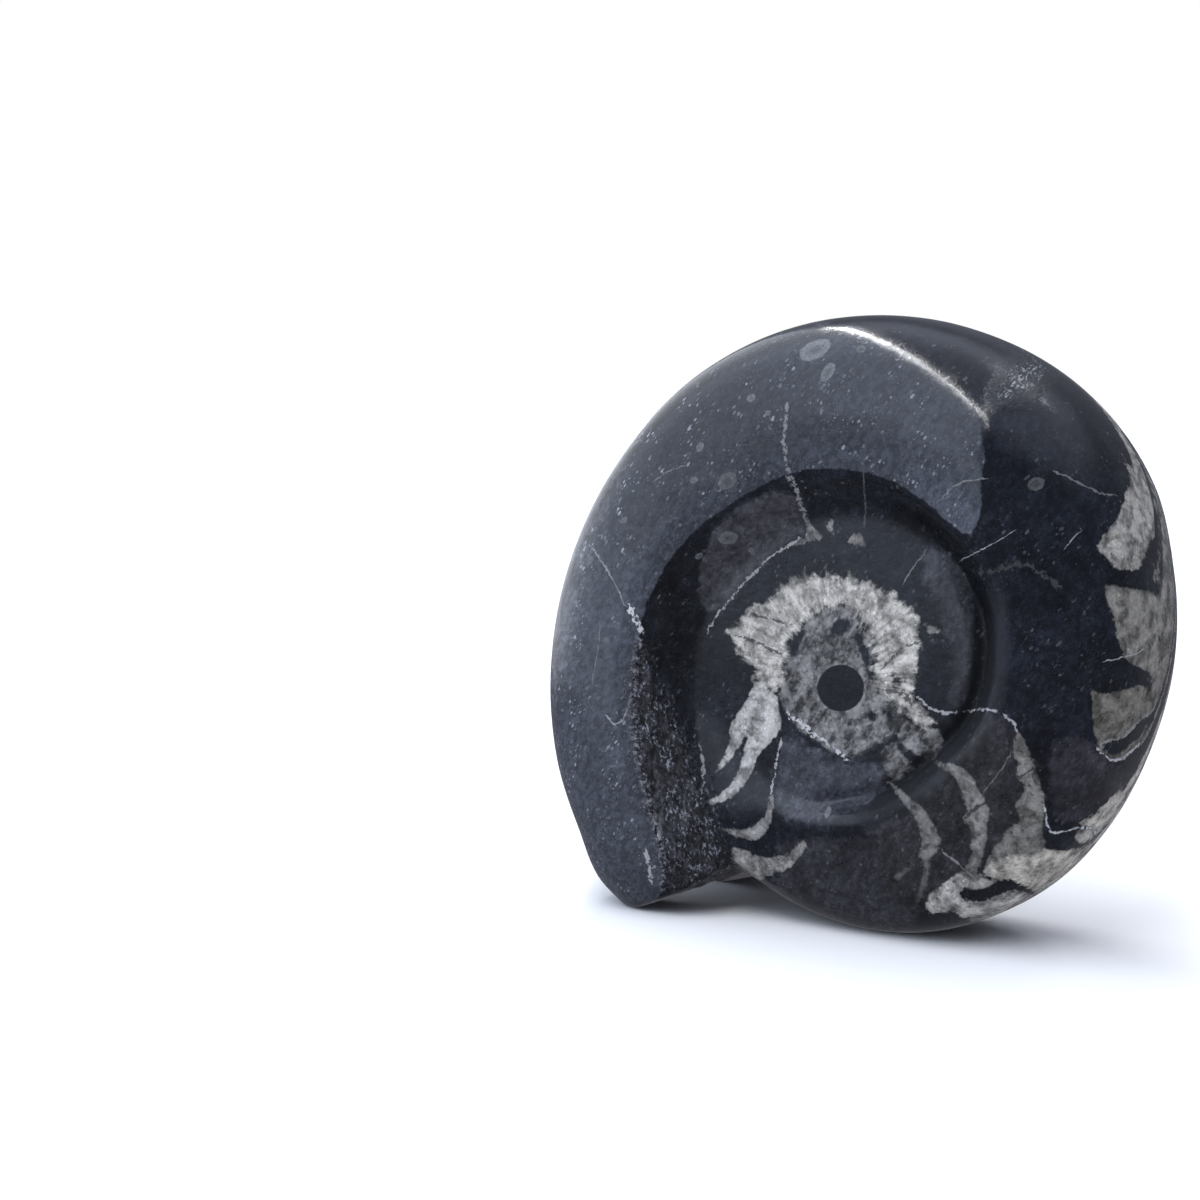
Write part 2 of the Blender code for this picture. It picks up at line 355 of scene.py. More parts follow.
FINE_LINES = (
    (0.1, 0.06, ((865, 445), (863, 480), (866, 505), (864, 527))),
    (0.11, 0.13, ((939, 501), (949, 491), (961, 481), (984, 479))),
    (0.07, 0.26, ((963, 559), (988, 547), (1012, 532))),
    (0.09, 0.14, ((925, 552), (914, 566), (904, 581))),
    (0.07, 0.26, ((1067, 546), (1073, 538), (1079, 532))),
    (0.13, 0.12, ((1056, 472), (1067, 477), (1079, 483), (1090, 489), (1101, 494), (1113, 495))),
    (0.09, 0.3, ((1107, 661), (1125, 657), (1136, 654), (1144, 649))),
    (0.09, 0.1, ((1010, 755), (998, 775), (985, 790))),
    (0.09, 0.12, ((655, 480), (668, 471), (684, 466))),
    (0.1, 0.1, ((611, 470), (625, 452), (640, 440))),
    (0.11, 0.2, ((594, 550), (605, 566), (616, 585), (624, 604))),
    (0.11, 0.22, ((608, 718), (614, 725), (622, 722), (627, 712), (629, 700))),
    (0.08, 0.12, ((600, 625), (598, 650), (592, 680))),
)
CRACKS = (
    (0.13, 0.0, ((958, 826), (970, 813), (987, 800), (1001, 794), (1013, 782), (1035, 767))),
    (0.13, 0.0, ((884, 666), (896, 654), (906, 646), (917, 643))),
    (0.13, 0.0, ((739, 636), (752, 640), (763, 645), (778, 653))),
    (0.17, 0.0, ((886, 691), (897, 692), (906, 693), (909, 702))),
    (0.1, 0.0, ((755, 615), (768, 618), (781, 622))),
    (0.14, 0.0, ((843, 758), (866, 752), (886, 741), (906, 718))),
)

# Small fossils cut across: middle, half length and half width in pixels, tilt in degrees and how pale.
SMALL_FOSSILS = (
    ((815, 350), 18, 9, 28, 0.14),
    ((828, 372), 11, 6, 55, 0.13),
    ((861, 349), 5, 4, 0, 0.09),
    ((751, 398), 5, 4, 30, 0.12),
    ((768, 413), 4, 3, 0, 0.1),
    ((700, 447), 6, 4, 60, 0.11),
    ((694, 480), 5, 4, 0, 0.1),
    ((728, 538), 10, 7, 10, 0.11),
    ((699, 556), 5, 3, 30, 0.1),
    ((751, 550), 4, 3, 0, 0.09),
    ((1036, 484), 9, 7, 20, 0.07),
    ((727, 481), 11, 8, 40, 0.09),
    ((590, 560), 5, 3, 80, 0.1),
    ((624, 520), 5, 3, 40, 0.1),
    ((606, 640), 4, 3, 0, 0.09),
    ((648, 405), 5, 3, 50, 0.1),
    ((828, 812), 7, 3, 70, 0.16),
)

# How many of its own half widths from a small fossil its distance is still measured.
OVAL_REACH = 3.0

# The dark disc in the middle of the coil.
CORE_MIDDLE = (840.7, 688.0)
CORE_RADIUS = 23.6

# The band that was left unpolished, between the aperture and the ground face.
ROUGH_BAND = (
    (641, 636), (652, 664), (672, 712), (694, 760), (712, 806), (722, 850), (744, 872), (762, 900),
    (700, 900), (668, 884), (655, 838), (641, 780), (630, 728), (628, 690),
)

# Where the polish of the venter is scratched, so it sparkles under the lamp; there pale streaks, partly pale
# scratches and partly painted glints of the lamp, are put into the colour.
SCRATCHED = ((1014, 366), (1040, 361), (1047, 371), (1028, 388), (1003, 402), (998, 393))

# How far from an outline or a line its distance is still measured, in pixels.
DEPTH_REACH = 34.0

# The far flank's markings are the near one's, turned about the axis by this much once past the keel.
FAR_TURN = 34.0
FAR_TURN_RUN = 9.0

# The stone's own colours and the tints that a traced paleness is multiplied by, with painted ones among them:
# painted shade on the umbilical wall, and pale scratches with painted glints on the venter.
BLACK_STONE = (0.0062, 0.0076, 0.0115)
PAINTED_WALL_SHADE = (0.0035, 0.0045, 0.0065, 1)
CORE_BLACK = (0.0055, 0.007, 0.0095)
CRACK_COLOUR = (0.02, 0.02, 0.022, 1)
COOL_CALCITE = (1.02, 1.0, 0.98, 1)
WARM_CALCITE = (1.09, 1.02, 0.88, 1)
GREY_TINT = (1.01, 1.0, 1.0)
FOSSIL_TINT = (0.97, 1.0, 1.04)
VEIN_TINT = (0.98, 0.99, 1.02)
ROUGH_TINT = (0.92, 0.94, 1.12)
SMALL_SPECKS = (0.26, 0.27, 0.3, 1)
LARGE_SPECKS = (0.15, 0.155, 0.17, 1)
DUST = (0.17, 0.18, 0.2, 1)
CRUMBS = (0.3, 0.3, 0.33, 1)
SCRATCH_AND_PAINTED_GLINTS = (0.24, 0.26, 0.28, 1)

# The polish, the height of the finest relief in millimetres, and the paper floor.
POLISH_IOR = 1.42
RELIEF_HEIGHT = 0.06
PAPER = (0.88, 0.88, 0.88, 1)
PAPER_ROUGHNESS = 0.95
PAPER_SHINE = 0.1
WHITE = (1.0, 1.0, 1.0, 1.0)

# The room's light, as radiance where white paper shows as 1. The big window fills the left half of the room,
# up to a bright rail that runs over the stone; right of it the room is dark but for a small lamp, which noise
# breaks up. Ways are azimuth and elevation in degrees, 0 along +X and -90 in front of the stone. Spreads,
# rises, drops, starts and widths are cosines of the angle to a way.
ROOM_DARK = (0.16, 0.17, 0.2, 1.0)
ROOM_CEILING = (0.82, 0.88, 1.06, 1.0)
ROOM_BELOW = (0.16, 0.16, 0.18, 1.0)
BACK_LEFT = (1.0, 1.05, 1.15, 1.0)
BACK_LEFT_WAY = (120.0, 0.0)
BACK_LEFT_SPREAD = (0.35, 0.6)
WINDOW = (1.55, 1.72, 2.05, 1.0)
RAIL = (210.0, 210.0, 210.0, 1.0)
LAMP = (20.0, 20.0, 21.5, 1.0)
SILL_DROP = (0.02, 0.13)
CEILING_RISE = (0.45, 0.8)
WINDOW_WAY = (210.0, 0.0)
WINDOW_START = 0.16
WINDOW_RIGHT_WAY = (159.8, 28.3)
WINDOW_RIGHT_START = -0.05
WINDOW_BLUR = 0.012
RAIL_HALF_WIDTH = 0.0065
RAIL_RISE = (0.62, 0.74)
LAMP_WAY = (74.0, 51.0)
LAMP_SPREAD = (0.992, 0.997)
LAMP_BREAKS = (0.49, 0.56)

# The -Y flank falls away right of a line up it, and below that outward of the umbilical shoulder. The angles
# along the whorl are where the fall fades in near the aperture, and where the line up the flank takes over:
# before that the line is moved this far away. The fall starts gently, over the last length.
FALL_START = 17.6
FALL_FROM_SHOULDER = 0.3
FALL_SLOPE = 0.16
FALL_MOST = 7.0
FALL_FADE = (-126.0, -112.0)
FALL_TO_LINE = (-40.0, -5.0)
FALL_LINE_AWAY = 53.8
FALL_EASE = 1.2

# The groove at the foot of the umbilical wall: its depth, how far it reaches inward, and the angles along the
# whorl between which it fades in at its start and out at its end.
GROOVE_DEPTH = 1.2
GROOVE_RUN = 1.5
GROOVE_START = (-110.0, -85.0)
GROOVE_END = (20.0, 60.0)

# Undulations left by grinding and polishing by hand, and the lumps of the unpolished band, which lies a
# little lower and sets in over the last two lengths at its edge.
UNDULATIONS = ((0.085, 0.06), (0.2, 0.022))
LUMPS = ((0.35, 0.32), (0.9, 0.16))
LUMPS_LOWERED = 0.15
ROUGH_EDGE = (-0.4, 1.2)

# The whole stone is this much smaller than its outline, so it stays inside the CAD model's box.
TRIM = (0.9965, 0.9935, 0.9965)


def coil_point(angle, radius, y=0.0):
    turn = math.radians(angle)
    return Vector((COIL_X + radius * math.cos(turn), y, COIL_Z + radius * math.sin(turn))) * MM


def start_clean():
    if bpy.context.mode != "OBJECT":
        bpy.ops.object.mode_set(mode="OBJECT")
    bpy.ops.object.select_all(action="DESELECT")


def apply_modifier(piece, kind, **settings):
    bpy.context.view_layer.objects.active = piece
    added = piece.modifiers.new(kind.lower(), kind)
    for name, value in settings.items():
        setattr(added, name, value)
    bpy.ops.object.modifier_apply(modifier=added.name)


def make_camera():
    yaw, pitch = math.radians(CAMERA_YAW), math.radians(CAMERA_PITCH)
    right = Vector((math.cos(yaw), math.sin(yaw), 0))
    level = Vector((-math.sin(yaw), math.cos(yaw), 0))
    ahead = level * math.cos(pitch) - Vector((0, 0, math.sin(pitch)))
    upward = right.cross(ahead)
    axis_to_camera = -AXIS_RIGHT * right - AXIS_AHEAD * level + Vector((0, 0, AXIS_BELOW))
    bpy.ops.object.camera_add()
    camera = bpy.context.object
    camera.name = "photo_camera"
    camera.data.sensor_width = SENSOR_WIDTH
    camera.data.lens = SENSOR_WIDTH * FOCAL_PIXELS / FRAME_PIXELS
    camera.data.clip_start = NEAREST_SEEN * MM
    camera.matrix_world = Matrix((right, upward, -ahead)).transposed().to_4x4()
    camera.location = (Vector((COIL_X, 0, COIL_Z)) + axis_to_camera) * MM
    bpy.context.scene.camera = camera


def whorl_values(angle):
    """Venter radius, shoulder radius and half thickness, from a smooth curve through the stations."""
    last = len(WHORL_STATIONS) - 1
    low = max(i for i in range(last) if WHORL_STATIONS[i][0] <= angle + 1e-6)
    rows = [WHORL_STATIONS[min(max(low + shift, 0), last)] for shift in (-1, 0, 1, 2)]
    span = rows[2][0] - rows[1][0]
    t = (angle - rows[1][0]) / span
    values = []
    for column in (1, 2, 3):
        before, start, end, after = (row[column] for row in rows)
        slope_in = (end - before) * span / max(rows[2][0] - rows[0][0], 1)
        slope_out = (after - start) * span / max(rows[3][0] - rows[1][0], 1)
        values.append(
            (2 * t**3 - 3 * t**2 + 1) * start
            + (t**3 - 2 * t**2 + t) * slope_in
            + (3 * t**2 - 2 * t**3) * end
            + (t**3 - t**2) * slope_out
        )
    return values


def wall_run(thickness):
    """How far inward the umbilical wall reaches on its way down to the inner whorls."""
    depth = thickness * (1 - FLANK_FALL) - FLOOR_EDGE
    return np.minimum(WALL_RUN_MOST, WALL_RUN_LEAST + WALL_RUN_PER_DEPTH * depth)


def whorl_section(angle):
    """The section's points as (radius, y), from the venter over one flank, down its wall, and back."""
    venter, shoulder, thickness = whorl_values(angle)
    run = wall_run(thickness)
    crest = shoulder + FLANK_CREST * (venter - shoulder)
    rim = thickness * (1 - FLANK_FALL)
    arc = SECTION_POINTS // 2 - POINTS_PAST_CREST
    side = []
    for step in range(arc + 1):
        turn = math.radians(90.0) * step / arc
        across = math.cos(turn) ** (2.0 / VENTER_POWER)
        height = math.sin(turn) ** (2.0 / FLANK_POWER)
        side.append((crest + (venter - crest) * across, thickness * height))
    for inward, share in FLANK_POINTS:
        side.append((crest - inward * (crest - shoulder), thickness * (1 - share * FLANK_FALL)))
    edge = rim - SHOULDER_DROP * SHOULDER_ROUND
    side.append((shoulder + SHOULDER_ROUND, rim))
    side.append((shoulder, edge))
    side.append((shoulder - WALL_BEND[0] * run, edge - WALL_BEND[1] * (rim - FLOOR_EDGE)))
    side.append((shoulder - run, min(FLOOR_EDGE, WALL_FOOT_SHARE * thickness)))
    side.append((shoulder - run - SHOULDER_ROUND, thickness / 2))
    return side + [(radius, -y) for radius, y in reversed(side)][:-1]


def add_last_whorl():
    """A disc of the first section's outline, extruded ring by ring along the coil in edit mode."""
    first, last = WHORL_STATIONS[0][0], WHORL_STATIONS[-1][0]
    points = len(whorl_section(first))
    bpy.ops.mesh.primitive_circle_add(vertices=points, radius=FLOOR_EDGE * MM, fill_type="NGON")
    whorl = bpy.context.object
    bpy.ops.object.mode_set(mode="EDIT")
    mesh = bmesh.from_edit_mesh(whorl.data)
    place = mesh.verts.layers.int.new("place")
    for index, vert in enumerate(mesh.verts):
        vert[place] = index
    count = round((last - first) / STATION_STEP)
    for step in range(count + 1):
        if step:
            bmesh.update_edit_mesh(whorl.data)
            bpy.ops.mesh.extrude_region_move()
            mesh = bmesh.from_edit_mesh(whorl.data)
            place = mesh.verts.layers.int["place"]
        angle = first + (last - first) * step / count
        nearness = max(0.0, angle - LEAN_START) / (last - LEAN_START)
        section = whorl_section(angle)
        for vert in (v for v in mesh.verts if v.select):
            radius, y = section[vert[place]]
            lean = LEAN_PER_MM * (radius - LEAN_RADIUS)
            advance = LONG_LOBE_ADVANCE * min(max(y / LONG_LOBE_Y, 0.0), 1.0)
            vert.co = coil_point(angle + nearness * (advance - lean), radius, y)
    bmesh.update_edit_mesh(whorl.data)
    bpy.ops.mesh.select_all(action="SELECT")
    bpy.ops.mesh.normals_make_consistent(inside=False)
    bpy.ops.object.mode_set(mode="OBJECT")
    return whorl


def add_inner_whorls():
    """A round block that fills the coil, with each face raised a little to its middle."""
    bpy.ops.mesh.primitive_cylinder_add(
        vertices=FLOOR_SIDES,
        radius=FLOOR_RADIUS * MM,
        depth=2 * FLOOR_EDGE * MM,
        location=coil_point(0, 0),
        rotation=(math.radians(90), 0, 0),
        end_fill_type="TRIFAN",
    )
    block = bpy.context.object
    bpy.ops.object.transform_apply(location=True, rotation=True, scale=True)
    for vert in block.data.vertices:
        if (vert.co - coil_point(0, 0)).length < FLOOR_RADIUS / 2 * MM:
            vert.co.y *= FLOOR_CENTRE / FLOOR_EDGE
    return block


def cut_sinus(body):
    apex = coil_point(SINUS_APEX, whorl_values(SINUS_APEX)[0] + SINUS_CLEARANCE)
    mouth = coil_point(SINUS_MOUTH, whorl_values(SINUS_MOUTH)[0] + SINUS_CLEARANCE)
    along = mouth - apex
    reach = along.length * SINUS_OVERRUN
    bpy.ops.mesh.primitive_cone_add(
        vertices=SINUS_SIDES, radius1=SINUS_TIP * MM, radius2=SINUS_OVERRUN * MM, depth=reach
    )
    cone = bpy.context.object
    side = Vector((0, 1, 0))
    inward = side.cross(along.normalized())
    turn = Matrix((inward, side, along.normalized())).transposed().to_4x4()
    shape = Matrix.Diagonal((SINUS_DEPTH, SINUS_HALF_WIDTH, 1, 1)) @ Matrix.Translation((0, 0, reach / 2))
    cone.data.transform(Matrix.Translation(apex) @ turn @ shape)
    apply_modifier(body, "BOOLEAN", operation="DIFFERENCE", object=cone, solver="EXACT")
    bpy.data.objects.remove(cone, do_unlink=True)


def eased(values, low, high):
    """0 below low, 1 above high, and a smooth rise between."""
    share = np.clip((values - low) / (high - low), 0, 1)
    return share * share * (3 - 2 * share)


def read_points(stone, kind):
    flat = np.empty(3 * len(stone.data.vertices))
    stone.data.vertices.foreach_get(kind, flat)
    return flat.reshape(-1, 3)


def lumpiness(points, octaves):
    """A smooth random height at each point, in millimetres, from layers of (how fine, how high)."""
    heights = np.zeros(len(points))
    for fineness, height in octaves:
        heights += [height * noise.noise(Vector(point) * fineness) for point in points]
    return heights


def shape_by_hand(stone):
    """Shapes the falling flank and the groove, the polisher's undulations and the unpolished band's lumps."""
    points = read_points(stone, "co") / MM
    normals = read_points(stone, "normal")
    right, height = points[:, 0] - COIL_X, points[:, 2] - COIL_Z
    angles, _, shoulders, thicknesses = np.array(WHORL_STATIONS).T
    turn = np.degrees(np.arctan2(height, right))
    shoulder = np.interp(turn, angles, shoulders)
    past = np.hypot(right, height) - shoulder - FALL_FROM_SHOULDER
    on_upper_flank = eased(turn, *FALL_TO_LINE)
    past = np.minimum(past, right - FALL_START + (1 - on_upper_flank) * FALL_LINE_AWAY)
    past = np.clip(past, 0, FALL_MOST)
    fall = FALL_SLOPE * past * eased(past, 0, FALL_EASE) * eased(turn, *FALL_FADE)
    near_side = points[:, 1] < 0
    thickness = np.interp(turn, angles, thicknesses)
    points[:, 1] *= 1 - near_side * fall / thickness
    run = wall_run(thickness)
    past_foot = np.hypot(right, height) - shoulder + run
    groove = eased(past_foot, -GROOVE_RUN, 0) * np.clip(1 - past_foot / run, 0, 1)
    groove *= eased(turn, *GROOVE_START) * (1 - eased(turn, *GROOVE_END))
    points[:, 1] *= 1 - GROOVE_DEPTH * groove / FLOOR_EDGE
    rough = eased(depth_in(photo_places(points), ROUGH_BAND), *ROUGH_EDGE)
    lumps = lumpiness(points, UNDULATIONS) + rough * (lumpiness(points, LUMPS) - LUMPS_LOWERED)
    points += normals * lumps[:, None]
    points *= TRIM
    points[:, 2] = np.maximum(points[:, 2], 0)
    stone.data.vertices.foreach_set("co", (points * MM).ravel())
    stone.data.update()


def make_stone():
    start_clean()
    whorl = add_last_whorl()
    start_clean()
    block = add_inner_whorls()
    start_clean()
    block.select_set(True)
    whorl.select_set(True)
    bpy.context.view_layer.objects.active = whorl
    bpy.ops.object.join()
    stone = bpy.context.object
    stone.name = "ammonite_stone"
    apply_modifier(stone, "REMESH", mode="VOXEL", voxel_size=SKIN_VOXEL * MM)
    cut_sinus(stone)
    apply_modifier(stone, "REMESH", mode="VOXEL", voxel_size=SKIN_VOXEL * MM)
    apply_modifier(stone, "SMOOTH", factor=ROUNDING_STRENGTH, iterations=ROUNDING_PASSES)
    shape_by_hand(stone)
    start_clean()
    stone.select_set(True)
    bpy.context.view_layer.objects.active = stone
    bpy.ops.object.shade_smooth()
    return stone


def photo_places(points):
    """Where points fall on the photograph, with the stone's far half folded over onto its near one."""
    x, y, z = (points - np.array((COIL_X, 0.0, COIL_Z))).T
    past = np.clip(y / FAR_TURN_RUN, 0, 1)
    turn = math.radians(FAR_TURN) * past * past * (3 - 2 * past)
    x, z = x * np.cos(turn) + z * np.sin(turn), z * np.cos(turn) - x * np.sin(turn)
    y = -np.abs(y)
    yaw, pitch = math.radians(CAMERA_YAW), math.radians(CAMERA_PITCH)
    across = x * math.cos(yaw) + y * math.sin(yaw) + AXIS_RIGHT
    level = y * math.cos(yaw) - x * math.sin(yaw) + AXIS_AHEAD
    height = z - AXIS_BELOW
    ahead = level * math.cos(pitch) - height * math.sin(pitch)
    up = level * math.sin(pitch) + height * math.cos(pitch)
    middle = FRAME_PIXELS / 2
    return np.stack([middle + FOCAL_PIXELS * across / ahead, middle - FOCAL_PIXELS * up / ahead], axis=1)


def rounded_off(line, closed):
    """A traced line with its corners cut once."""
    line = np.array(line, float)
    after = np.roll(line, -1, axis=0)
    cut = np.stack([0.75 * line + 0.25 * after, 0.25 * line + 0.75 * after], axis=1).reshape(-1, 2)
    return cut if closed else np.concatenate([line[:1], cut[:-2], line[-1:]])


def gap_to(places, line, closed):
    """How many millimetres each place is from a line, and on which side of it."""
    ends = np.roll(line, -1, axis=0)
    gap = np.full(len(places), np.inf)
    side = np.zeros(len(places))
    for start, end in list(zip(line, ends))[: None if closed else -1]:
        run = end - start
        away = places - start
        share = np.clip(away @ run / (run @ run), 0, 1)
        here = np.hypot(*(away - share[:, None] * run).T)
        nearer = here < gap
        gap[nearer] = here[nearer]
        side[nearer] = np.sign(run[0] * away[nearer, 1] - run[1] * away[nearer, 0])
    return gap / PIXELS_PER_MM, side


def is_inside(places, outline):
    x, y = places.T
    within = np.zeros(len(places), bool)
    for (x0, y0), (x1, y1) in zip(outline, np.roll(outline, -1, axis=0)):
        if y0 != y1:
            within ^= ((y0 > y) != (y1 > y)) & (x < x0 + (y - y0) * (x1 - x0) / (y1 - y0))
    return within


def near_to(places, line):
    """Which places lie within reach of a line."""
    low, high = line.min(axis=0) - DEPTH_REACH, line.max(axis=0) + DEPTH_REACH
    return np.all((places > low) & (places < high), axis=1)


def depth_in(places, outline):
    """How many millimetres each place lies inside an outline, and less than none outside it."""
    outline = rounded_off(outline, closed=True)
    near = near_to(places, outline)
    depth = np.full(len(places), -DEPTH_REACH / PIXELS_PER_MM)
    gap, _ = gap_to(places[near], outline, closed=True)
    depth[near] = np.where(is_inside(places[near], outline), gap, np.maximum(-gap, depth[near]))
    return depth


def mark_areas(places, areas):
    """The depth in the deepest of the areas at each place, and that area's own values."""
    depths = np.stack([depth_in(places, outline) for *_, outline in areas])
    deepest = depths.argmax(axis=0)
    values = np.array([row[:-1] for row in areas])
    return depths.max(axis=0), values[deepest]


def mark_lines(places, lines):
    """For each place and its nearest line: half widths to the side, the gap, and the line's paleness."""
    marks = np.full((len(places), 3), DEPTH_REACH / PIXELS_PER_MM)
    for half_width, paleness, line in lines:
        line = rounded_off(line, closed=False)
        near = near_to(places, line)
        gap, side = gap_to(places[near], line, closed=False)
        rows = np.stack([side * gap / half_width, gap, np.full(len(gap), paleness)], axis=1)
        marks[near] = np.where((gap < marks[near, 1])[:, None], rows, marks[near])
    return marks


def mark_ovals(places, ovals):
    """For each place, how far out it is in the nearest small fossil, 1 at its edge, and its paleness."""
    marks = np.full((len(places), 3), OVAL_REACH)
    for middle, length, width, tilt, paleness in ovals:
        turn = math.radians(tilt)
        right, down = (places - np.array(middle)).T
        along = right * math.cos(turn) - down * math.sin(turn)
        across = right * math.sin(turn) + down * math.cos(turn)
        out = np.hypot(along / length, across / width)
        nearer = out < marks[:, 0]
        marks[nearer, 0] = out[nearer]
        marks[nearer, 1] = paleness
    return marks


def keep_mark(stone, name, values):
    """Stores one value, or three, for each of the stone's points."""
    single = values.ndim == 1
    layer = stone.data.attributes.new(name, "FLOAT" if single else "FLOAT_VECTOR", "POINT")
    layer.data.foreach_set("value" if single else "vector", np.ascontiguousarray(values, np.float32).ravel())


def mark_stone(stone):
    places = photo_places(read_points(stone, "co") / MM)
    calcite, look = mark_areas(places, CALCITE_AREAS)
    dark = np.max([depth_in(places, outline) for outline in DARK_AREAS], axis=0)
    grey, grey_look = mark_areas(places, GREY_AREAS)
    keep_mark(stone, "calcite", np.minimum(calcite, -dark))
    keep_mark(stone, "calcite_look", look)
    keep_mark(stone, "grey", np.minimum(grey, -dark))
    keep_mark(stone, "grey_paleness", grey_look[:, 0])
    keep_mark(stone, "pale_vein", mark_lines(places, PALE_VEINS))
    keep_mark(stone, "fine_line", mark_lines(places, FINE_LINES))
    keep_mark(stone, "crack", mark_lines(places, CRACKS))
    keep_mark(stone, "small_fossil", mark_ovals(places, SMALL_FOSSILS))
    keep_mark(stone, "core", (CORE_RADIUS - np.hypot(*(places - np.array(CORE_MIDDLE)).T)) / PIXELS_PER_MM)
    keep_mark(stone, "rough_band", depth_in(places, ROUGH_BAND))
    keep_mark(stone, "scratched", depth_in(places, SCRATCHED))
    keep_mark(stone, "umbilicus", depth_in(places, UMBILICUS))
    keep_mark(stone, "shaded_wall", depth_in(places, SHADED_WALL))
    keep_mark(stone, "fill_and_sheen", depth_in(places, FILL_AND_SHEEN))
    for number, (*_, outline) in enumerate(PALER_AREAS):
        keep_mark(stone, "paler_%d" % number, depth_in(places, outline))


class Bench:
    """Lays out the nodes of a material or of the room, and gives each one's output to the next."""

    def __init__(self, tree):
        self.tree = tree

    def node(self, kind, *inputs, **settings):
        made = self.tree.nodes.new(kind)
        for name, value in settings.items():
            setattr(made, name, value)
        for socket, source in inputs:
            self.feed(made.inputs[socket], source)
        return made

    def feed(self, socket, source):
        if isinstance(source, bpy.types.NodeSocket):
            self.tree.links.new(source, socket)
        else:
            socket.default_value = source

    def math(self, operation, first, second=0.0):
        return self.node("ShaderNodeMath", (0, first), (1, second), operation=operation).outputs[0]

    def add(self, first, second):
        return self.math("ADD", first, second)

    def less(self, first, second):
        return self.math("SUBTRACT", first, second)

    def times(self, first, second):
        return self.math("MULTIPLY", first, second)

    def ramp(self, value, low, high, to_low=0.0, to_high=1.0):
        """Eases from to_low to to_high as the value goes from low to high."""
        inputs = (("Value", value), ("From Min", low), ("From Max", high), ("To Min", to_low),
                  ("To Max", to_high))
        return self.node("ShaderNodeMapRange", *inputs, interpolation_type="SMOOTHSTEP").outputs["Result"]

    def mix(self, share, first, second):
        mixer = self.node("ShaderNodeMix", (0, share), data_type="RGBA")
        self.feed(mixer.inputs[6], first)
        self.feed(mixer.inputs[7], second)
        return mixer.outputs[2]

    def tint(self, paleness, colour):
        """A colour scaled by a paleness."""
        return self.node(
            "ShaderNodeVectorMath", (0, colour), ("Scale", paleness), operation="SCALE"
        ).outputs[0]

    def mark(self, name, output="Fac"):
        return self.node("ShaderNodeAttribute", attribute_name=name).outputs[output]

    def parts(self, vector):
        return self.node("ShaderNodeSeparateXYZ", (0, vector)).outputs

    def grain(self, place, scale, detail=3.0, roughness=0.5, distortion=0.0):
        inputs = (("Vector", place), ("Scale", scale), ("Detail", detail), ("Roughness", roughness),
                  ("Distortion", distortion))
        return self.node("ShaderNodeTexNoise", *inputs).outputs["Fac"]

    def cells(self, place, scale):
        return self.node("ShaderNodeTexVoronoi", ("Vector", place), ("Scale", scale)).outputs

    def drawn_out(self, place, rotation, scale):
        """Places for a pattern that is drawn out by the scale, along axes turned by the rotation."""
        inputs = (("Vector", place), ("Rotation", rotation), ("Scale", scale))
        return self.node("ShaderNodeMapping", *inputs, vector_type="TEXTURE").outputs[0]


def new_material(name):
    """A new material, the bench to lay out its nodes on, and its shader."""
    material = bpy.data.materials.new(name)
    material.use_nodes = True
    return material, Bench(material.node_tree), material.node_tree.nodes["Principled BSDF"]


def vein_mask(bench, mark, wobble, width):
    """1 on a line and 0 beside it, where the mark says how far to the side of the line a place is."""
    side, gap, _ = bench.parts(mark)
    off = bench.math("ABSOLUTE", bench.add(side, wobble))
    on = bench.ramp(bench.less(width, off), -0.3, 0.4)
    close = bench.ramp(gap, 0.45, 0.6, 1.0, 0.0)
    return bench.times(on, close)


def specks(bench, place, scale, share, size):
    """Specks of many sizes and strengths: share is how many cells have one, and size how wide they get."""
    cells = bench.cells(place, scale)
    chance, strength, _ = bench.parts(cells["Color"])
    radius = bench.times(bench.math("MAXIMUM", bench.less(chance, 1 - share), 0.0), size / share)
    spot = bench.ramp(bench.less(radius, cells["Distance"]), -0.02, 0.05)
    return bench.times(spot, bench.ramp(strength, 0.0, 1.0, 0.25, 1.2))


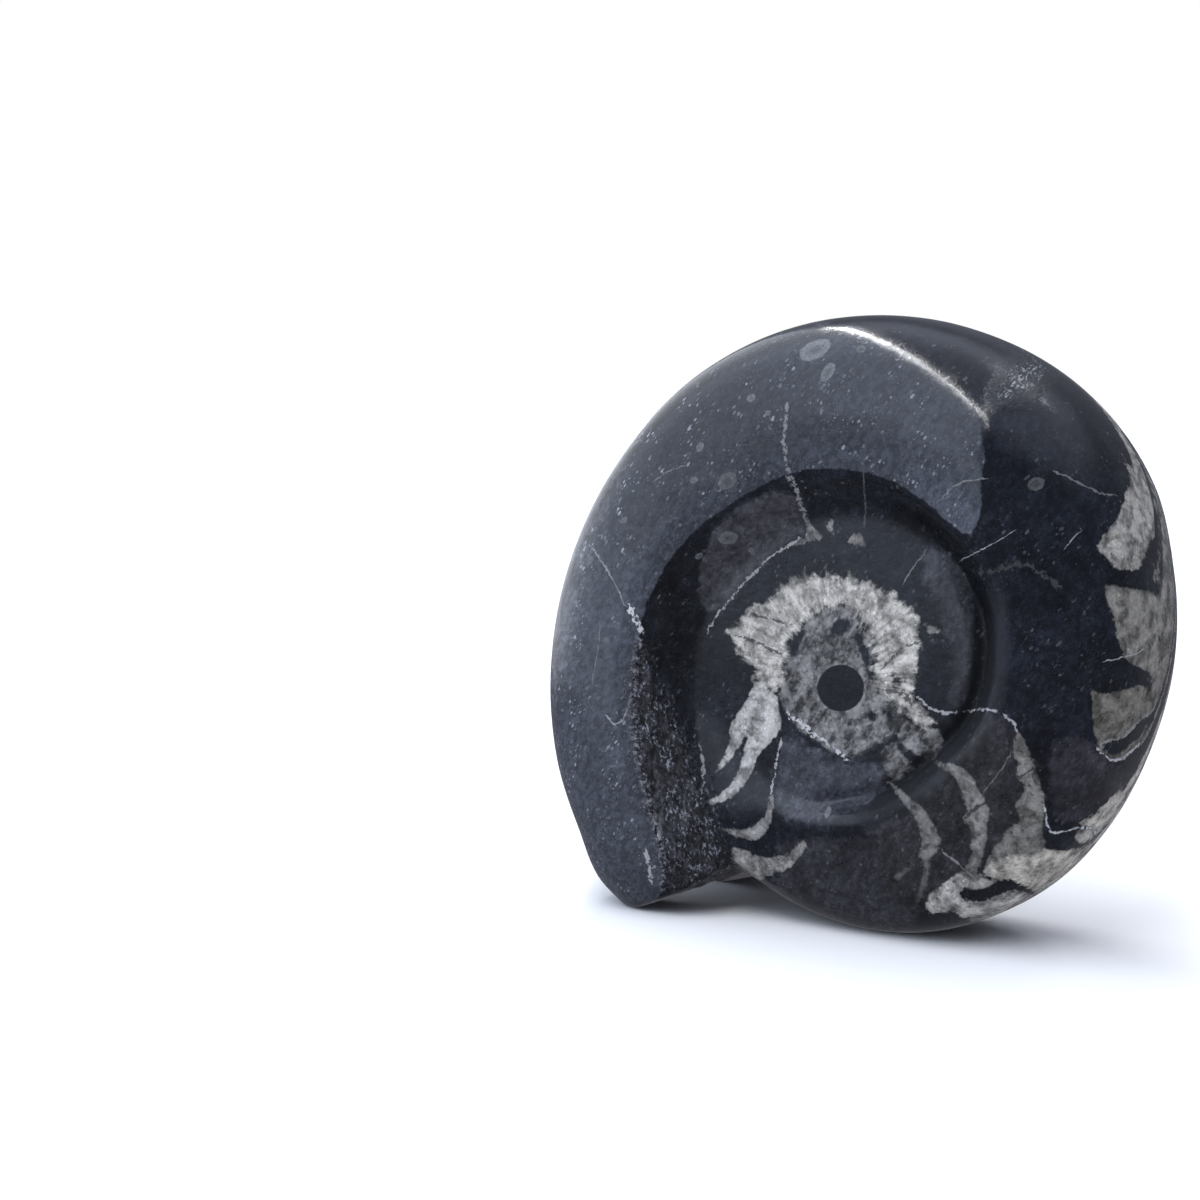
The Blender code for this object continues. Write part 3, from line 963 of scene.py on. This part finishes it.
def polished_limestone():
    """Black limestone: calcite by the marks, mottled grey stone, specks, veins, and the unpolished band."""
    material, bench, shader = new_material("polished_limestone")
    whole = bench.node("ShaderNodeTexCoord").outputs["Object"]
    place = bench.node("ShaderNodeMapping", ("Vector", whole), ("Scale", (1000.0, 1000.0, 1000.0))).outputs[0]

    ragged = bench.less(bench.grain(place, 1.1, 5.0, 0.65), 0.5)
    fine = bench.grain(place, 4.0, 4.0, 0.6)
    blotch = bench.grain(place, 0.55, 4.0, 0.55, 0.4)
    cloud = bench.grain(place, 0.16, 4.0, 0.6)
    crystals = bench.cells(place, 2.4)
    crystal_tone = bench.parts(crystals["Color"])[1]

    shaken = bench.node(
        "ShaderNodeVectorMath", (0, place), (1, bench.tint(ragged, (0.9, 1.2, 1.0))), operation="ADD"
    ).outputs[0]

    slanted = bench.drawn_out(shaken, (0.0, 0.6, 0.0), (1.0, 1.0, 1.7))
    from_axis = bench.node(
        "ShaderNodeMapping", ("Vector", place), ("Location", (-COIL_X, 0.0, -COIL_Z)),
        ("Scale", (1.0, 0.0, 1.0)),
    ).outputs[0]
    outward = bench.node("ShaderNodeVectorMath", (0, from_axis), operation="NORMALIZE").outputs[0]
    ray_place = bench.node(
        "ShaderNodeVectorMath", (0, outward), (1, (9.0, 9.0, 9.0)), (2, bench.tint(0.42, shaken)),
        operation="MULTIPLY_ADD",
    ).outputs[0]
    rays = bench.grain(ray_place, 1.0, 5.0, 0.62)

    calcite = bench.mark("calcite")
    paleness, warmth, wander = bench.parts(bench.mark("calcite_look", "Vector"))
    depth = bench.add(calcite, bench.times(bench.times(ragged, wander), 4.2))
    depth = bench.add(depth, bench.times(bench.less(crystal_tone, 0.5), 0.16))
    depth = bench.add(depth, bench.times(bench.times(bench.less(rays, 0.5), wander), 4.0))
    is_calcite = bench.ramp(depth, bench.times(wander, -0.4), bench.add(0.12, bench.times(wander, 0.7)))
    dense = bench.ramp(depth, 0.0, 0.9, 0.68, 1.0)
    glitter = bench.less(crystal_tone, 0.5)
    mottle = bench.add(bench.ramp(blotch, 0.36, 0.6, 0.42, 1.14), bench.times(glitter, 0.3))
    mottle = bench.times(mottle, bench.ramp(fine, 0.3, 0.7, 0.78, 1.16))
    feathered = bench.ramp(wander, 0.1, 0.5)
    between_rays = bench.less(0.95, bench.times(feathered, 0.3))
    mottle = bench.times(mottle, bench.ramp(rays, 0.36, 0.6, between_rays, 1.1))
    mottle = bench.add(mottle, bench.times(specks(bench, shaken, 2.8, 0.5, 0.45), 0.4))
    mottle = bench.times(mottle, bench.less(1.0, bench.times(specks(bench, place, 1.9, 0.4, 0.36), 0.5)))
    calcite_tint = bench.mix(warmth, COOL_CALCITE, WARM_CALCITE)
    calcite_colour = bench.tint(bench.times(bench.times(paleness, dense), mottle), calcite_tint)

    grey = bench.mark("grey")
    grey_paleness = bench.mark("grey_paleness")
    grey_depth = bench.add(grey, bench.times(ragged, 1.5))
    is_grey = bench.ramp(grey_depth, -0.2, 0.25)
    grey_mottle = bench.times(
        bench.ramp(bench.grain(slanted, 0.9, 5.0, 0.7), 0.36, 0.64, 0.16, 1.5),
        bench.add(0.7, bench.times(crystal_tone, 0.6)),
    )
    grey_colour = bench.tint(bench.times(grey_paleness, grey_mottle), GREY_TINT)

    shade = bench.times(bench.ramp(cloud, 0.3, 0.7, 0.7, 1.35), bench.ramp(fine, 0.3, 0.7, 0.75, 1.25))
    shade = bench.times(shade, bench.ramp(blotch, 0.3, 0.7, 0.75, 1.3))
    # Slanted streaks, paler and darker, painted into the colour: painted reflection of the flicker that
    # polishing marks give the polish.
    polish_streak_sheen = bench.grain(slanted, 1.7, 5.0, 0.62)
    shade = bench.times(shade, bench.ramp(polish_streak_sheen, 0.38, 0.64, 0.72, 1.36))
    stone = bench.tint(shade, BLACK_STONE)
    right_of_middle, _, above_ground = bench.parts(place)
    # The upper left's paler fill with its painted sheen of the window's reflection, painted stronger low
    # down, towards the right and away from the umbilicus.
    fill_and_sheen_strength = bench.times(
        bench.ramp(above_ground, 30.0, 54.0, 1.8, 0.6), bench.ramp(right_of_middle, -20.0, 12.0, 0.9, 1.9)
    )
    umbilicus = bench.mark("umbilicus")
    fill_and_sheen_strength = bench.add(fill_and_sheen_strength, bench.ramp(umbilicus, -3.6, -2.2, 0.0, 0.35))
    fill_and_sheen_mottle = bench.times(bench.ramp(cloud, 0.3, 0.7, 0.88, 1.1), bench.ramp(fine, 0.3, 0.7, 0.85, 1.15))
    fill_and_sheen_mottle = bench.times(fill_and_sheen_mottle, bench.ramp(polish_streak_sheen, 0.38, 0.64, 0.74, 1.3))
    fill_and_sheen_depth = bench.add(bench.mark("fill_and_sheen"), bench.times(ragged, 6 * FILL_AND_SHEEN_WANDER))
    fill_and_sheen_share = bench.ramp(fill_and_sheen_depth, -FILL_AND_SHEEN_WANDER, FILL_AND_SHEEN_WANDER)
    stone = bench.mix(fill_and_sheen_share, stone, bench.tint(bench.times(fill_and_sheen_mottle, fill_and_sheen_strength), FILL_AND_SHEEN_COLOUR))
    # The second and third paler areas are painted reflection on the umbilicus floor.
    for number, (*colour, wander, _) in enumerate(PALER_AREAS):
        paler = bench.add(bench.mark("paler_%d" % number), bench.times(ragged, 6 * wander))
        stone = bench.mix(bench.ramp(paler, -wander, wander), stone, bench.tint(shade, tuple(colour)))
    # The umbilical wall at the right is painted near black: painted shade in the hollow.
    wall = bench.ramp(bench.add(bench.mark("shaded_wall"), bench.times(ragged, 0.5)), -0.12, 0.2)
    stone = bench.mix(wall, stone, PAINTED_WALL_SHADE)
    small = specks(bench, slanted, 2.2, 0.6, 0.42)
    larger = specks(bench, slanted, 0.75, 0.35, 0.28)
    dust = specks(bench, slanted, 4.6, 0.55, 0.42)
    swarm = bench.ramp(bench.grain(place, 0.3, 4.0), 0.42, 0.6, 0.08, 1.0)
    swarm = bench.times(swarm, bench.ramp(fill_and_sheen_share, 0.0, 1.0, 0.25, 1.0))
    swarm = bench.times(swarm, bench.ramp(right_of_middle, -28.0, 0.0, 1.15, 0.8))
    stone = bench.mix(bench.times(small, bench.times(swarm, 0.8)), stone, SMALL_SPECKS)
    larger = bench.times(bench.times(larger, swarm), bench.ramp(fine, 0.4, 0.62, 0.0, 0.85))
    stone = bench.mix(larger, stone, LARGE_SPECKS)
    stone = bench.mix(bench.times(dust, bench.times(swarm, 0.6)), stone, DUST)

    out, fossil_paleness, _ = bench.parts(bench.mark("small_fossil", "Vector"))
    out = bench.add(out, bench.times(ragged, 0.5))
    fossil = bench.times(bench.ramp(out, 0.85, 1.05, 1.0, 0.0), bench.ramp(out, 0.1, 0.75, 0.35, 1.0))
    fossil = bench.times(fossil, bench.ramp(fine, 0.3, 0.65, 0.5, 1.1))
    stone = bench.mix(fossil, stone, bench.tint(fossil_paleness, FOSSIL_TINT))

    colour = bench.mix(is_grey, stone, grey_colour)
    colour = bench.mix(is_calcite, colour, calcite_colour)

    core = bench.ramp(bench.mark("core"), -0.06, 0.1)
    colour = bench.mix(core, colour, bench.tint(bench.ramp(fine, 0.3, 0.7, 0.8, 1.3), CORE_BLACK))

    wobble = bench.times(bench.less(bench.grain(place, 1.9, 4.0), 0.5), 5.0)
    width = bench.ramp(bench.grain(place, 1.6, 5.0, 0.7), 0.36, 0.62, -0.25, 1.5)
    even_width = bench.ramp(width, -0.25, 1.5, 0.35, 0.9)
    for name, half_width in (("pale_vein", width), ("fine_line", even_width)):
        mark = bench.mark(name, "Vector")
        vein_paleness = bench.parts(mark)[2]
        vein = vein_mask(bench, mark, wobble, half_width)
        colour = bench.mix(vein, colour, bench.tint(vein_paleness, VEIN_TINT))
    crack = vein_mask(bench, bench.mark("crack", "Vector"), wobble, bench.add(width, 0.3))
    colour = bench.mix(bench.times(crack, 0.8), colour, CRACK_COLOUR)

    rough_depth = bench.add(bench.mark("rough_band"), bench.times(ragged, 6.0))
    is_rough = bench.ramp(rough_depth, -0.8, 1.2)
    long_grain = bench.drawn_out(place, (0.0, -0.2, 0.0), (1.0, 1.0, 1.6))
    ridges = bench.grain(long_grain, 1.3, 5.0, 0.72, 0.6)
    chips = bench.ramp(bench.grain(long_grain, 3.0, 4.0, 0.7), 0.54, 0.62)
    chips = bench.times(chips, bench.ramp(blotch, 0.42, 0.56, 0.08, 1.0))
    crumbs = bench.ramp(bench.math("ABSOLUTE", fill_and_sheen_depth), 0.0, 0.8, 1.0, 0.0)
    crumbs = bench.times(crumbs, bench.ramp(bench.grain(place, 2.2, 4.0, 0.7), 0.5, 0.6))
    crumbs = bench.times(crumbs, bench.ramp(bench.mark("rough_band"), -1.8, -0.6))
    # The unpolished band is painted paler where its ridges stand high, partly its own tone and partly painted
    # highlights on the crests; chips add pale flecks.
    rough_tone_and_ridge_glints = bench.add(bench.ramp(ridges, 0.42, 0.7, 0.006, 0.075), bench.times(chips, 0.3))
    colour = bench.mix(bench.times(is_rough, 0.9), colour, bench.tint(rough_tone_and_ridge_glints, ROUGH_TINT))
    colour = bench.mix(bench.times(crumbs, 0.7), colour, CRUMBS)
    scratched = bench.add(bench.mark("scratched"), bench.times(ragged, 2.0))
    scratches = bench.grain(bench.drawn_out(shaken, (0.25, 0.0, 0.27), (0.7, 3.4, 0.7)), 2.8)
    # Pale streaks on the scratched venter: partly pale scratches, partly painted glints of the lamp.
    scratch_and_painted_glints = bench.times(bench.ramp(scratched, -0.5, 0.6), bench.ramp(scratches, 0.51, 0.64, 0.0, 0.85))
    colour = bench.mix(scratch_and_painted_glints, colour, SCRATCH_AND_PAINTED_GLINTS)
    bench.feed(shader.inputs["Base Color"], colour)

    gloss = bench.ramp(bench.grain(place, 0.7, 3.0, 0.65), 0.35, 0.75, 0.11, 0.2)
    gloss = bench.add(gloss, bench.times(is_calcite, 0.12))
    hollow = bench.ramp(umbilicus, -0.2, 1.2)
    dull_wall = bench.ramp(bench.mark("shaded_wall"), -2.2, -0.8)
    dull_wall = bench.times(dull_wall, bench.ramp(bench.less(right_of_middle, above_ground), -20.0, -10.0))
    gloss = bench.add(gloss, bench.add(bench.times(hollow, 0.14), bench.times(dull_wall, 0.38)))
    gloss = bench.math("MAXIMUM", gloss, bench.times(is_rough, 0.42))
    bench.feed(shader.inputs["Roughness"], gloss)
    shader.inputs["IOR"].default_value = POLISH_IOR

    strokes = bench.node(
        "ShaderNodeMapping", ("Vector", shaken), ("Rotation", (0.3, 0.6, 0.0)), ("Scale", (0.8, 1.1, 1.6))
    ).outputs[0]
    strokes = bench.grain(strokes, 0.8, 4.0, 0.55, 0.3)
    pits = bench.ramp(strokes, 0.62, 0.7)
    relief = bench.add(bench.times(strokes, 0.3), bench.times(bench.grain(place, 0.35, 2.0), 0.6))
    relief = bench.add(relief, bench.times(fine, 0.07))
    relief = bench.add(relief, bench.times(bench.ramp(scratched, -1.9, -0.6), bench.times(scratches, 2.4)))
    relief = bench.less(relief, bench.times(pits, 0.14))
    relief = bench.add(relief, bench.times(bench.times(bench.ramp(calcite, -0.1, 0.3), crystal_tone), 0.15))
    relief = bench.add(relief, bench.times(is_rough, bench.times(ridges, 8.0)))
    height = RELIEF_HEIGHT * MM
    bump = bench.node("ShaderNodeBump", ("Height", relief), ("Strength", 1.0), ("Distance", height))
    bench.feed(shader.inputs["Normal"], bump.outputs[0])
    return material


def pale_paper():
    material, _, shader = new_material("pale_paper")
    shader.inputs["Base Color"].default_value = PAPER
    shader.inputs["Roughness"].default_value = PAPER_ROUGHNESS
    shader.inputs["Specular IOR Level"].default_value = PAPER_SHINE
    return material


def make_floor():
    start_clean()
    bpy.ops.mesh.primitive_plane_add(size=6.0)
    floor = bpy.context.object
    floor.name = "studio_floor"
    floor.data.materials.append(pale_paper())
    floor.visible_glossy = False


def direction(azimuth, elevation):
    """The way to a place on the studio's walls: 0 is +X, -90 is in front of the stone."""
    turn, rise = math.radians(azimuth), math.radians(elevation)
    return (math.cos(rise) * math.cos(turn), math.cos(rise) * math.sin(turn), math.sin(rise))


def make_room():
    """The studio round the stone: a big window in the left half, a bright rail over it, dark at the right."""
    room = bpy.data.worlds.new("studio_room")
    room.use_nodes = True
    bpy.context.scene.world = room
    room.node_tree.nodes.clear()
    bench = Bench(room.node_tree)
    look = bench.node("ShaderNodeTexCoord").outputs["Generated"]

    def side_of(way, low, high):
        """Eases from 0 to 1 as the direction turns towards a way."""
        facing = bench.node("ShaderNodeVectorMath", (0, look), (1, way), operation="DOT_PRODUCT")
        return bench.ramp(facing.outputs["Value"], low, high)

    zenith = direction(0.0, 90.0)
    window_way = direction(*WINDOW_WAY)
    right_edge = (WINDOW_RIGHT_START - WINDOW_BLUR, WINDOW_RIGHT_START + WINDOW_BLUR)
    window = bench.times(
        side_of(window_way, WINDOW_START - WINDOW_BLUR, WINDOW_START + WINDOW_BLUR),
        side_of(direction(*WINDOW_RIGHT_WAY), *right_edge),
    )
    rail = bench.times(
        side_of(window_way, WINDOW_START - RAIL_HALF_WIDTH, WINDOW_START),
        side_of(window_way, WINDOW_START + RAIL_HALF_WIDTH, WINDOW_START),
    )
    rail = bench.times(rail, side_of(zenith, *RAIL_RISE))
    breaks = bench.node(
        "ShaderNodeMapRange", ("Value", bench.grain(look, 11.0, 2.0)), ("From Min", LAMP_BREAKS[0]),
        ("From Max", LAMP_BREAKS[1]),
    ).outputs["Result"]
    lamp = bench.times(side_of(direction(*LAMP_WAY), *LAMP_SPREAD), breaks)
    walls = bench.mix(side_of(zenith, *CEILING_RISE), ROOM_DARK, ROOM_CEILING)
    walls = bench.mix(lamp, walls, LAMP)
    daylight = bench.mix(side_of(direction(*BACK_LEFT_WAY), *BACK_LEFT_SPREAD), WINDOW, BACK_LEFT)
    walls = bench.mix(window, walls, daylight)
    walls = bench.mix(side_of(direction(0.0, -90.0), *SILL_DROP), walls, ROOM_BELOW)
    walls = bench.mix(rail, walls, RAIL)
    seen = bench.node("ShaderNodeLightPath").outputs["Is Camera Ray"]
    walls = bench.mix(seen, walls, WHITE)
    background = bench.node("ShaderNodeBackground", ("Color", walls), ("Strength", 1.0))
    bench.node("ShaderNodeOutputWorld", ("Surface", background.outputs[0]))


bpy.context.scene.view_settings.view_transform = "Standard"
make_camera()
make_room()
make_floor()
stone = make_stone()
mark_stone(stone)
stone.data.materials.append(polished_limestone())
start_clean()
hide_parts("ammonite")
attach(stone, "root")
